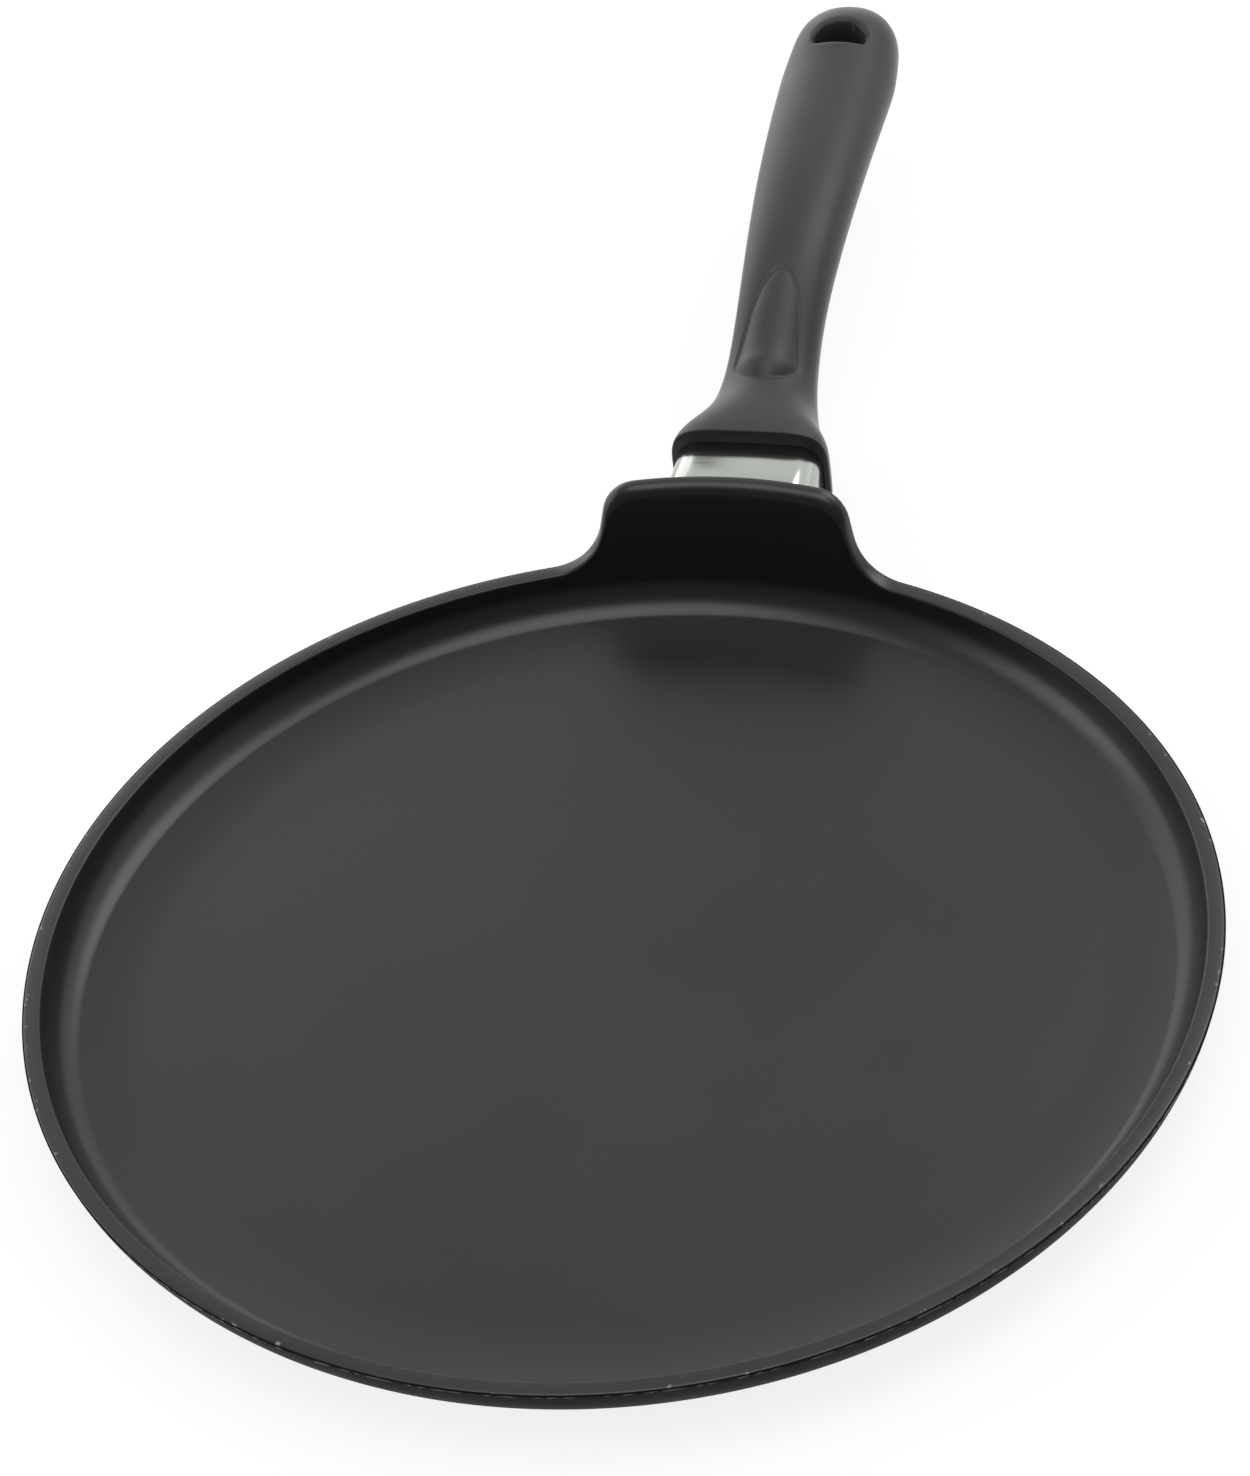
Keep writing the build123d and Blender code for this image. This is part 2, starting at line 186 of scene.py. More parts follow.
def colour(name, description, red_green_blue):
    """A property that holds a colour."""
    return bpy.props.FloatVectorProperty(
        name=name, description=description, default=red_green_blue, subtype="COLOR", size=3
    )


class CrepePanSizes(bpy.types.PropertyGroup):
    """Sizes of the cast dish and its collar."""

    rim_radius: length("Rim radius", "Outside radius at the rim", 140)
    height: length("Height", "Height of the rim above the table", 16)
    floor_thickness: length("Floor thickness", "Thickness of the base", 5.2)
    rim_width: length("Rim width", "Thickness of the wall", 4.2)
    wall_lean: angle("Wall lean", "How far the wall leans outwards", 13)
    base_curve: length("Base curve", "Radius under the wall", 18.6)
    wall_curve: length("Wall curve", "Radius between floor and wall", 10)
    floor_crease: angle("Floor crease", "Slope where the curve meets the floor", 18)
    rim_outer_round: length("Outer rim rounding", "Rounding of the rim's outer edge", 0.9)
    rim_inner_round: length("Inner rim rounding", "Rounding of the rim's inner edge", 0.5)
    collar_inner_round: length("Inner collar rounding", "Rounding of the collar's inner edge", 2.6)
    collar_rise: length("Collar rise", "Height of the collar above the rim", 21.9)
    collar_crown: length("Collar crown", "Bulge of the collar's top", 1)
    collar_top_width: length("Collar width", "Width of the collar's top", 61.2)
    collar_flank_run: length("Collar slant", "How far each flank runs outwards", 4.5)
    collar_foot_fillet: length("Collar foot", "Radius where the collar leaves the rim", 12.5)
    collar_corner: length("Collar corner", "Radius of the collar's upper corners", 8.4)
    columns: bpy.props.IntProperty(
        name="Columns", description="Number of strips round the dish", default=720
    )


class CrepePanHandleSizes(bpy.types.PropertyGroup):
    """Sizes of the flame guard, the grip and what joins them."""

    axis_height: length("Fixing height", "Height of the fixing axis", 18.4)
    pad_margin: length("Pad margin", "How far the pad shows round the guard", 2)
    pad_round: length("Pad rounding", "Rounding of the pad's front edge", 0.8)
    guard_width: length("Guard width", "Width of the flame guard", 38.4)
    guard_height: length("Guard height", "Height of the flame guard", 22.8)
    guard_crown: length("Guard crown", "Bulge of the guard's top and bottom", 0.9)
    guard_corner: length("Guard corner", "Corner radius of the guard", 6)
    guard_wall: length("Guard wall", "Thickness of the guard's sheet", 0.8)
    guard_edge: length("Guard edge", "Rounding of the sheet's edges", 0.15)
    rebate_depth: length("Rebate depth", "How deep the guard sits in the grip", 2.5)
    rebate_clearance: length("Rebate clearance", "Gap round the guard in the grip", 0.04)
    grip_width: length("Grip width", "Width of the grip at its middle", 31.8)
    grip_crest: length("Grip crest", "Height of the grip's highest point", 58)
    tip_radius: length("Tip radius", "Radius of the grip's round end", 16.2)
    lip_round: length("Lip rounding", "Rounding of the grip's front edge", 0.45)
    hole_width: length("Hole width", "Width of the hanging hole", 15)
    hole_length: length("Hole length", "From the flat to the arch's top", 9)
    hole_to_tip: length("Hole to tip", "From the arch to the grip's end", 16)
    hole_arch_corner: length("Arch corner", "Radius of the arch's two corners", 7.2)
    hole_corner: length("Hole corner", "Radius beside the hole's flat", 1.7)
    hole_arch_round: length("Arch rounding", "Rounding of the arch's mouth", 1.7)
    hole_flat_round: length("Flat rounding", "Rounding of the flat's mouth", 0.8)
    thumb_start: length("Thumb rest start", "From the grip's front", 23.6)
    thumb_length: length("Thumb rest length", "Length of the thumb rest", 31.8)
    thumb_width: length("Thumb rest width", "Widest part of the thumb rest", 15.4)
    thumb_rise: length("Thumb rest rise", "Height of the thumb rest", 2.3)
    thumb_groove: length("Groove depth", "Depth of the groove round it", 0.35)
    thumb_groove_width: length("Groove width", "Width of the groove round it", 2)


class CrepePanFinishes(bpy.types.PropertyGroup):
    """Colours of the finishes and the stage."""

    # The colour at the core of the coating's painted highlight band; the coating's own colour away from it
    # is a small share of this
    coating: colour("Coating", "Non-stick coating", (0.033, 0.034, 0.0315))
    enamel: colour("Enamel", "Matt enamel outside", (0.0065, 0.0062, 0.0042))
    steel: colour("Steel", "Satin steel of the guard", (0.43, 0.43, 0.415))
    grip: colour("Grip", "Soft-touch grip", (0.014, 0.015, 0.015))
    zinc: colour("Zinc", "Zinc plate of the screw", (0.62, 0.63, 0.66))
    stage: colour("Stage", "Pale floor", (0.86, 0.86, 0.86))


def pan_sizes():
    return bpy.context.scene.crepe_pan_sizes


def handle_sizes():
    return bpy.context.scene.crepe_pan_handle


def finishes():
    return bpy.context.scene.crepe_pan_finishes


# Hands: how a mesh is picked up, selected and put down

def drop_everything():
    """Leave edit mode and deselect every object."""
    if bpy.context.mode != "OBJECT":
        bpy.ops.object.mode_set(mode="OBJECT")
    bpy.ops.object.select_all(action="DESELECT")


def pick_up(piece):
    """Make one object the active and only selected one."""
    drop_everything()
    piece.select_set(True)
    bpy.context.view_layer.objects.active = piece


def work_mesh():
    """The mesh that is being edited."""
    return bmesh.from_edit_mesh(bpy.context.edit_object.data)


def start_selection(kind):
    """Deselect everything in one select mode, and give the mesh."""
    bpy.ops.mesh.select_mode(type=kind)
    bpy.ops.mesh.select_all(action="DESELECT")
    return work_mesh()


def end_selection(mesh, upwards=False):
    """Carry the selection over to the mesh's other elements and show it."""
    mesh.select_flush(upwards)
    bmesh.update_edit_mesh(bpy.context.edit_object.data)


def select_vertices(test):
    """Select the vertices whose place passes the test."""
    mesh = start_selection("VERT")
    for vertex in mesh.verts:
        vertex.select = test(vertex.co)
    end_selection(mesh, upwards=True)


def select_edges(test):
    """Select the edges whose two ends pass the test."""
    mesh = start_selection("EDGE")
    for edge in mesh.edges:
        edge.select = test(edge.verts[0].co, edge.verts[1].co)
    end_selection(mesh)


def select_faces(test):
    """Select the faces whose middle and normal pass the test."""
    mesh = start_selection("FACE")
    for face in mesh.faces:
        face.select = test(face.calc_center_median(), face.normal)
    end_selection(mesh)


def select_sharp_edges(test):
    """Select the sharp edges whose two ends pass the test."""
    start_selection("EDGE")
    bpy.ops.mesh.edges_select_sharp(sharpness=math.radians(SHARP_DEGREES))
    mesh = work_mesh()
    for edge in mesh.edges:
        edge.select = edge.select and test(edge.verts[0].co, edge.verts[1].co)
    end_selection(mesh)


def apply_modifier(piece, kind, **settings):
    """Add a modifier, set it and apply it."""
    pick_up(piece)
    modifier = piece.modifiers.new(kind.lower(), kind)
    for name, value in settings.items():
        setattr(modifier, name, value)
    bpy.ops.object.modifier_apply(modifier=modifier.name)


def combine(piece, tool, operation):
    """Join a tool to a piece or cut it away, and throw the tool away."""
    apply_modifier(piece, "BOOLEAN", object=tool, operation=operation, solver="EXACT")
    bpy.data.objects.remove(tool)


def put_down(piece, name, sharpness_degrees, material, nodes):
    """Finish a piece: its place, shading, material, body and the nodes it stands for."""
    pick_up(piece)
    bpy.ops.object.transform_apply(location=True, rotation=True, scale=True)
    bpy.ops.object.shade_smooth_by_angle(angle=math.radians(sharpness_degrees))
    piece.name = name
    piece.data.name = name
    piece.data.materials.clear()
    piece.data.materials.append(material)
    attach(piece, BODY)
    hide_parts(*nodes)
    return piece


def coat_outside(dish):
    """Give the outer wall, the underside and the pad the enamel."""
    sizes = pan_sizes()
    dish.data.materials.append(enamel_material())
    pick_up(dish)
    bpy.ops.object.mode_set(mode="EDIT")

    def is_outside(middle, normal):
        radius = math.hypot(middle.x, middle.y)
        beyond_wall = radius > outer_radius(middle.z) - sizes.rim_width / 2
        faces_out = normal.x * middle.x + normal.y * middle.y > radius * FACES_OUT
        behind = middle.y > outer_radius(middle.z) + MM
        return normal.z < FACES_DOWN or behind or (beyond_wall and faces_out)

    select_faces(is_outside)
    dish.active_material_index = 1
    bpy.ops.object.material_slot_assign()
    bpy.ops.object.mode_set(mode="OBJECT")
    dish.active_material_index = 0


def ease(value):
    """A soft step from 0 to 1."""
    value = min(max(value, 0.0), 1.0)
    return value * value * (3 - 2 * value)


# Dish

def outer_radius(height):
    """Radius of the wall's outside at a height above the table."""
    sizes = pan_sizes()
    return sizes.rim_radius - (sizes.height - height) * math.tan(sizes.wall_lean)


def inner_radius(height):
    """Radius of the wall's inside at a height above the table."""
    return outer_radius(height) - pan_sizes().rim_width


def fillet_reach(radius, turn):
    """How far a fillet reaches along each side of a corner."""
    return radius * math.tan(turn / 2)


def round_corner(place, radius, segments):
    """Round one corner of an outline that is still only edges."""
    turn = math.pi / 2 - pan_sizes().wall_lean
    select_vertices(lambda point: (point - place).length < TINY)
    bpy.ops.mesh.bevel(
        offset_type="OFFSET", offset=fillet_reach(radius, turn), segments=segments, affect="VERTICES"
    )


def wall_curve_place(slope):
    """Where the curve between floor and wall has a slope."""
    sizes = pan_sizes()
    centre_height = sizes.floor_thickness + sizes.wall_curve * math.cos(sizes.floor_crease)
    wall_start = centre_height - sizes.wall_curve * math.sin(sizes.wall_lean)
    centre = inner_radius(wall_start) - sizes.wall_curve * math.cos(sizes.wall_lean)
    radius = centre + sizes.wall_curve * math.sin(slope)
    return Vector((radius, 0, centre_height - sizes.wall_curve * math.cos(slope)))


def draw_dish_outline():
    """Draw the dish's half section, from the middle of the base round to the floor."""
    sizes = pan_sizes()
    floor = sizes.floor_thickness
    crease = sizes.floor_crease
    steep = math.pi / 2 - sizes.wall_lean
    steps = range(FLOOR_CURVE_STEPS + 1)
    curve = [wall_curve_place(steep + (crease - steep) * step / FLOOR_CURVE_STEPS) for step in steps]
    corners = [
        Vector((0, 0, 0)),
        Vector((outer_radius(0), 0, 0)),
        Vector((outer_radius(sizes.height), 0, sizes.height)),
        Vector((inner_radius(sizes.height), 0, sizes.height)),
        *curve,
        Vector((0, 0, floor)),
    ]
    drop_everything()
    bpy.ops.mesh.primitive_plane_add(size=MM, location=(0, 0, 0))
    bpy.ops.object.mode_set(mode="EDIT")
    bpy.ops.mesh.merge(type="CENTER")
    for start, end in zip(corners, corners[1:]):
        bpy.ops.mesh.extrude_region_move(TRANSFORM_OT_translate={"value": end - start})
    round_corner(corners[1], sizes.base_curve, BASE_CURVE_SEGMENTS)
    select_edges(lambda start, end: min(start.x, end.x) < TINY)
    bpy.ops.mesh.subdivide(number_cuts=FLOOR_CUTS)


def collar_half_outline(along):
    """Place on the collar's half outline, as (sideways, above the rim), at a share of it.

    The second result is the half outline's reach sideways.
    """
    sizes = pan_sizes()
    crown = sizes.collar_crown
    corner = sizes.collar_corner
    foot = sizes.collar_foot_fillet
    half = sizes.collar_top_width / 2
    turn = math.atan2(sizes.collar_rise - crown, sizes.collar_flank_run)
    tilt = math.atan2(crown * 2, half)
    flat = half - fillet_reach(corner, turn - tilt)
    shoulder = sizes.collar_rise - crown * (flat / half) ** 2
    flank_top = shoulder - corner * (math.cos(tilt) - math.cos(turn))
    slant = (flank_top - foot * (1 - math.cos(turn))) / math.sin(turn)
    flank_start = flat + corner * (math.sin(turn) - math.sin(tilt))
    reach = flank_start + slant * math.cos(turn) + foot * math.sin(turn)
    walk = along * (flat + corner * (turn - tilt) + slant + foot * turn)
    if walk < flat:
        return (walk, sizes.collar_rise - crown * (walk / half) ** 2), reach
    walk -= flat
    if walk < corner * (turn - tilt):
        angle = tilt + walk / corner
        sideways = flat + corner * (math.sin(angle) - math.sin(tilt))
        return (sideways, shoulder - corner * (math.cos(tilt) - math.cos(angle))), reach
    walk -= corner * (turn - tilt)
    if walk < slant:
        return (flank_start + walk * math.cos(turn), flank_top - walk * math.sin(turn)), reach
    heading = turn - (walk - slant) / foot
    return (reach - foot * math.sin(heading), foot * (1 - math.cos(heading))), reach


def raise_collar():
    """Lift the rim, strip by strip, onto the collar's outline."""
    sizes = pan_sizes()
    (_, _), reach = collar_half_outline(0)
    bpy.ops.mesh.select_mode(type="VERT")
    bpy.ops.mesh.select_all(action="DESELECT")
    strips = {}
    for vertex in work_mesh().verts:
        angle = math.atan2(vertex.co.x, vertex.co.y)
        on_rim = abs(vertex.co.z - sizes.height) < TINY
        if on_rim and abs(sizes.rim_radius * math.sin(angle)) < reach and vertex.co.y > 0:
            strips.setdefault(round(angle, 5), []).append(vertex.index)
    for angle in sorted(strips, key=abs, reverse=True):
        start = Vector((math.sin(angle), math.cos(angle), 0)) * sizes.rim_radius
        (sideways, above), _ = collar_half_outline(abs(start.x) / reach)
        radius = outer_radius(sizes.height + above)
        sideways = math.copysign(sideways, start.x)
        end = Vector((sideways, math.sqrt(radius**2 - sideways**2), above))
        mesh = work_mesh()
        mesh.verts.ensure_lookup_table()
        for index in strips[angle]:
            mesh.verts[index].select = True
        bpy.ops.transform.translate(value=end - start)
        bpy.ops.mesh.select_all(action="DESELECT")


def refine_wall():
    """Cut the tall faces of the wall and collar into rows."""
    sizes = pan_sizes()

    def is_upright(start, end):
        low, high = sorted((start, end), key=lambda point: point.z)
        above_curve = high.z > sizes.height - TINY
        return above_curve and low.z < sizes.height - MM and high.z - low.z > MM

    select_edges(is_upright)
    bpy.ops.mesh.subdivide(number_cuts=WALL_CUTS)


def on_outside(middle):
    """Whether a place on the rim's or the collar's top is on its outer side."""
    edge_radius = math.hypot(middle.x, middle.y)
    return edge_radius > outer_radius(middle.z) - pan_sizes().rim_width / 2


def round_rim(dish):
    """Round the outer and the inner edge of the rim, the inner one more on the collar."""
    sizes = pan_sizes()
    rim = sizes.height - TINY

    def outer_edge(start, end):
        return min(start.z, end.z) > rim and on_outside((start + end) / 2)

    select_sharp_edges(outer_edge)
    bpy.ops.mesh.bevel(offset=sizes.rim_outer_round, segments=RIM_OUTER_SEGMENTS, affect="EDGES")
    select_sharp_edges(
        lambda start, end: min(start.z, end.z) > rim and not on_outside((start + end) / 2)
    )
    bpy.ops.object.mode_set(mode="OBJECT")
    weights = dish.data.attributes.new("bevel_weight_edge", "FLOAT", "EDGE")
    least = sizes.rim_inner_round / sizes.collar_inner_round
    for edge in dish.data.edges:
        if edge.select:
            middle = sum((dish.data.vertices[index].co for index in edge.vertices), Vector()) / 2
            share = ease((middle.z - sizes.height) / (sizes.collar_rise * COLLAR_ROUND_SHARE))
            weights.data[edge.index].value = least + (1 - least) * share
    apply_modifier(
        dish,
        "BEVEL",
        width=sizes.collar_inner_round,
        segments=RIM_INNER_SEGMENTS,
        limit_method="WEIGHT",
        offset_type="OFFSET",
        use_clamp_overlap=False,
    )


def tip_y():
    """The far end of the grip, a hair past its node's last section."""
    sizes = handle_sizes()
    last = sizes.tip_radius * (1 - math.sin(math.radians(TIP_ANGLES_DEGREES[-1])))
    return GRIP_HIGH.y + last


def rounded_block(width, height, start, end, corner, segments):
    """A block along the handle with its four long edges rounded. It is left in edit mode."""
    drop_everything()
    bpy.ops.mesh.primitive_cube_add(size=1, location=(0, 0, 0))
    block = bpy.context.object
    bpy.ops.object.mode_set(mode="EDIT")
    bpy.ops.transform.resize(value=(width, end - start, height))
    centre = Vector((0, (start + end) / 2, handle_sizes().axis_height))
    bpy.ops.transform.translate(value=centre)
    select_edges(lambda first, second: abs(first.y - second.y) > TINY)
    bpy.ops.mesh.bevel(offset=corner, segments=segments, affect="EDGES")
    return block


def crown_block(width, flat_height, crown):
    """Bulge the top and the bottom of a rounded block that is being edited."""
    middle = handle_sizes().axis_height
    for cut in range(1 - CROWN_STRIPS, CROWN_STRIPS):
        bpy.ops.mesh.select_all(action="SELECT")
        bpy.ops.mesh.bisect(plane_co=(cut / CROWN_STRIPS * width / 2, 0, 0), plane_no=(1, 0, 0))
    for side in (1, -1):
        top = middle + side * flat_height / 2
        select_vertices(lambda point: abs(point.x) < TINY and abs(point.z - top) < TINY)
        bpy.ops.transform.translate(
            value=(0, 0, side * crown),
            use_proportional_edit=True,
            use_proportional_connected=True,
            proportional_edit_falloff="INVERSE_SQUARE",
            proportional_size=width / 2,
        )


def collar_pad():
    """The pad behind the collar, its back let into the wall."""
    pan = pan_sizes()
    sizes = handle_sizes()
    margin = sizes.pad_margin * 2
    deep = pan.rim_radius - pan.rim_width * PAD_START_SHARE
    width = sizes.guard_width + margin
    height = sizes.guard_height + margin
    corner = sizes.guard_corner + sizes.pad_margin
    pad = rounded_block(width, height, deep, GUARD_LOW.y, corner, PAD_CORNER_SEGMENTS)
    select_vertices(lambda point: point.y > GUARD_LOW.y - TINY)
    bpy.ops.mesh.bevel(offset=sizes.pad_round, segments=PAD_EDGE_SEGMENTS, affect="EDGES")
    # The back is laid inside the thickness of the wall, which leans and curves under.
    for level_share in PAD_CUT_SHARES:
        bpy.ops.mesh.select_all(action="SELECT")
        level = sizes.axis_height + height * (level_share - 0.5)
        bpy.ops.mesh.bisect(plane_co=(0, 0, level), plane_no=(0, 0, 1))
    back = deep + TINY
    heights = sorted({round(vertex.co.z, 6) for vertex in work_mesh().verts if vertex.co.y < back})
    for level in heights:
        select_vertices(lambda point: point.y < back and abs(point.z - level) < TINY * 2)
        bpy.ops.transform.translate(value=(0, wall_middle(level) - deep, 0))
    return pad


def wall_middle(level):
    """How far along the handle the wall's thickness is at a level, a little inside it."""
    sizes = pan_sizes()
    curve_top = sizes.base_curve * (1 - math.sin(sizes.wall_lean))
    if level > curve_top:
        return outer_radius(level) - sizes.rim_width * PAD_END_SHARE
    centre = outer_radius(curve_top) - sizes.base_curve * math.cos(sizes.wall_lean)
    across = math.sqrt(sizes.base_curve**2 - (sizes.base_curve - level) ** 2)
    return centre + across - sizes.rim_width * PAD_END_SHARE


class CREPEPAN_OT_dish(bpy.types.Operator):
    """Model the cast dish with its collar and the pad behind it"""

    bl_idname = "crepe_pan.dish"
    bl_label = "Dish"

    def execute(self, context):
        sizes = pan_sizes()
        draw_dish_outline()
        dish = context.edit_object
        bpy.ops.mesh.select_all(action="SELECT")
        bpy.ops.mesh.spin(steps=sizes.columns, angle=math.tau, center=(0, 0, 0), axis=(0, 0, 1))
        bpy.ops.mesh.select_all(action="SELECT")
        bpy.ops.mesh.remove_doubles(threshold=TINY)
        bpy.ops.mesh.normals_make_consistent(inside=False)
        raise_collar()
        refine_wall()
        round_rim(dish)
        pad = collar_pad()
        bpy.ops.object.mode_set(mode="OBJECT")
        combine(dish, pad, "UNION")
        put_down(dish, "cast_dish", 40, coating_material(), ["pan_body"])
        coat_outside(dish)
        return {"FINISHED"}


# Flame guard

class CREPEPAN_OT_flame_guard(bpy.types.Operator):
    """Model the steel sleeve between the collar and the grip"""

    bl_idname = "crepe_pan.flame_guard"
    bl_label = "Flame guard"

    def execute(self, context):
        sizes = handle_sizes()
        flat_height = sizes.guard_height - sizes.guard_crown * 2
        guard = rounded_block(
            sizes.guard_width,
            flat_height,
            GUARD_LOW.y,
            GUARD_HIGH.y,
            sizes.guard_corner,
            GUARD_CORNER_SEGMENTS,
        )
        select_faces(lambda middle, normal: abs(normal.y) > 0.5)
        bpy.ops.mesh.delete(type="FACE")
        crown_block(sizes.guard_width, flat_height, sizes.guard_crown)
        bpy.ops.object.mode_set(mode="OBJECT")
        apply_modifier(guard, "SOLIDIFY", thickness=sizes.guard_wall, offset=-1.0, use_even_offset=True)
        bpy.ops.object.mode_set(mode="EDIT")
        select_sharp_edges(lambda first, second: abs(first.y - second.y) < TINY)
        bpy.ops.mesh.bevel(offset=sizes.guard_edge, segments=2, affect="EDGES")
        put_down(guard, "steel_sleeve", 40, steel_material(), ["flame_guard"])
        return {"FINISHED"}


# Grip

def between(rows, place):
    """The grip's section at any place, on a smooth curve through the rows' values."""
    for index in range(len(rows) - 1):
        if place <= rows[index + 1][0] + TINY:
            break
    before = rows[max(index - 1, 0)]
    start = rows[index]
    end = rows[index + 1]
    after = rows[min(index + 2, len(rows) - 1)]
    gap = end[0] - start[0]
    share = (place - start[0]) / gap
    values = []
    for column in range(1, len(start)):
        leave = slope(before, start, end, column) * gap
        arrive = slope(start, end, after, column) * gap
        values.append(hermite(start[column], end[column], leave, arrive, share))
    return values


def slope(before, here, after, column):
    """The slope of one column of the section rows at one row."""
    if after[0] - before[0] < TINY:
        return 0.0
    return (after[column] - before[column]) / (after[0] - before[0])


def hermite(start, end, leave, arrive, share):
    """A smooth step from start to end with given slopes."""
    square = share * share
    cube = square * share
    return (
        (2 * cube - 3 * square + 1) * start
        + (cube - 2 * square + share) * leave
        + (3 * square - 2 * cube) * end
        + (cube - square) * arrive
    )


def grip_sections():
    """Every section of the grip: place, half width, rise, level, drop, fullness above and below."""
    sizes = handle_sizes()
    start = GRIP_LOW.y
    straight = tip_y() - sizes.tip_radius - start
    # Smoothing the skin draws each ring in, so the rings start a little larger.
    swell = 3 / (2 + math.cos(math.tau / SECTION_CORNERS))
    places = []
    for row, following in zip(SECTION_SHARES, SECTION_SHARES[1:]):
        gap = following[0] - row[0]
        steps = math.ceil(gap * straight / MOST_SECTION_SPACING)
        places += [row[0] + gap * step / steps for step in range(steps)]
    places.append(SECTION_SHARES[-1][0])
    sections = []
    for place in places:
        width, top, level, bottom, above, below = between(SECTION_SHARES, place)
        half_width = sizes.grip_width / 2 * width * swell
        rise = sizes.grip_crest * (top - level) * swell
        drop = sizes.grip_crest * (level - bottom) * swell
        middle = sizes.grip_crest * level
        sections.append((start + straight * place, half_width, rise, middle, drop, above, below))
    for degrees in TIP_ANGLES_DEGREES:
        along = math.sin(math.radians(degrees))
        narrowing = math.cos(math.radians(degrees))
        flattening = narrowing ** (2 / below)
        y = start + straight + sizes.tip_radius * along
        tip = (half_width * narrowing, rise * flattening, middle, drop * flattening)
        sections.append((y, *tip, above, below))
    return sections


def add_section(y, half_width, rise, level, drop, above, below):
    """Add one ring and pull its corners, group by group, onto the section's outline."""
    bpy.ops.mesh.primitive_circle_add(
        vertices=SECTION_CORNERS,
        radius=half_width,
        location=(0, y, level),
        rotation=(math.pi / 2, 0, 0),
    )
    quarter = SECTION_CORNERS // 4
    for side, height, fullness in ((1, rise, above), (-1, drop, below)):
        for step in range(quarter // 2 + 1):
            angle = math.tau * step / SECTION_CORNERS
            reach = (math.cos(angle) ** fullness + math.sin(angle) ** fullness) ** (-1 / fullness)
            for aim in {angle, math.pi / 2 - angle}:
                if aim < TINY and side < 0:
                    continue
                select_ring_corners(y, half_width, level, aim, side)
                bpy.ops.transform.resize(
                    value=(reach, 1, reach * height / half_width), center_override=(0, y, level)
                )


def select_ring_corners(y, radius, level, angle, side):
    """Select a round ring's pair of corners at an angle above or below its level."""
    bpy.ops.mesh.select_all(action="DESELECT")
    mesh = work_mesh()
    mesh.verts.ensure_lookup_table()
    across = radius * math.cos(angle)
    height = level + side * radius * math.sin(angle)
    for vertex in mesh.verts[-SECTION_CORNERS:]:
        near_side = abs(abs(vertex.co.x) - across) < TINY * 5
        vertex.select = near_side and abs(vertex.co.z - height) < TINY * 5
    bmesh.update_edit_mesh(bpy.context.edit_object.data)


def build_grip_shell():
    """Join the rings into one skin, close both ends and smooth it."""
    sections = grip_sections()
    drop_everything()
    bpy.ops.mesh.primitive_circle_add(vertices=3, radius=MM, location=(0, 0, 0))
    shell = bpy.context.object
    bpy.ops.object.mode_set(mode="EDIT")
    bpy.ops.mesh.delete(type="VERT")
    bpy.ops.mesh.select_mode(type="VERT")
    for section in sections:
        add_section(*section)
    for first, second in zip(sections, sections[1:]):
        select_vertices(lambda point: min(abs(point.y - first[0]), abs(point.y - second[0])) < TINY)
        bpy.ops.mesh.select_mode(type="EDGE")
        bpy.ops.mesh.bridge_edge_loops()
    last = sections[-1][0]
    select_vertices(lambda point: abs(point.y - last) < TINY)
    bpy.ops.mesh.edge_face_add()
    bpy.ops.mesh.select_all(action="SELECT")
    bpy.ops.mesh.normals_make_consistent(inside=False)
    bpy.ops.object.mode_set(mode="OBJECT")
    apply_modifier(shell, "SUBSURF", levels=3, render_levels=3)
    bpy.ops.object.mode_set(mode="EDIT")
    front = sections[0][0]
    select_vertices(lambda point: abs(point.y - front) < TINY * 10)
    bpy.ops.mesh.edge_face_add()
    bpy.ops.mesh.select_all(action="SELECT")
    bpy.ops.mesh.normals_make_consistent(inside=False)
    bpy.ops.object.mode_set(mode="OBJECT")
    return shell


def thumb_place(x, y):
    """Where a place is on the egg-shaped thumb rest, seen from above.

    The first result is 0 on its middle line and 1 on its outline. The second goes
    from 0 at its blunt front to 1 at its narrow end.
    """
    sizes = handle_sizes()
    along = (y - GRIP_LOW.y - sizes.thumb_start) / sizes.thumb_length
    past_widest = max(along - THUMB_WIDEST, 0) / (1 - THUMB_WIDEST)
    half_width = sizes.thumb_width / 2 * (1 - THUMB_TAPER * past_widest)
    front = max(1 - along / THUMB_FRONT, 0)
    back = max((along - 1 + THUMB_BACK) / THUMB_BACK, 0)
    return math.sqrt((x / max(half_width, MM)) ** 2 + front**2 + back**2), along


def weigh(piece, name, weight_of):
    """Give a piece a named vertex group whose weights come from each vertex's place."""
    group = piece.vertex_groups.new(name=name)
    for vertex in piece.data.vertices:
        weight = weight_of(vertex.co, vertex.normal)
        if weight > 0:
            group.add([vertex.index], weight, "REPLACE")


def form_thumb_rest(grip):
    """Raise the thumb rest and sink the groove round it."""
    sizes = handle_sizes()

    def pad_weight(place, normal):
        outwards, along = thumb_place(place.x, place.y)
        if normal.z < FACES_UP or outwards >= 1:
            return 0.0
        return (1 - outwards**2) * (1 - THUMB_FALL * along)

    half_groove = sizes.thumb_groove_width / sizes.thumb_width

    def groove_weight(place, normal):
        outwards, _ = thumb_place(place.x, place.y)
        if normal.z < FACES_UP:
            return 0.0
        return ease(1 - abs(outwards - 1 - half_groove * GROOVE_OFFSET) / half_groove)

    weigh(grip, "thumb_pad", pad_weight)
    weigh(grip, "thumb_groove", groove_weight)
    apply_modifier(grip, "DISPLACE", vertex_group="thumb_pad", strength=sizes.thumb_rise, mid_level=0)
    apply_modifier(
        grip, "DISPLACE", vertex_group="thumb_groove", strength=-sizes.thumb_groove, mid_level=0
    )


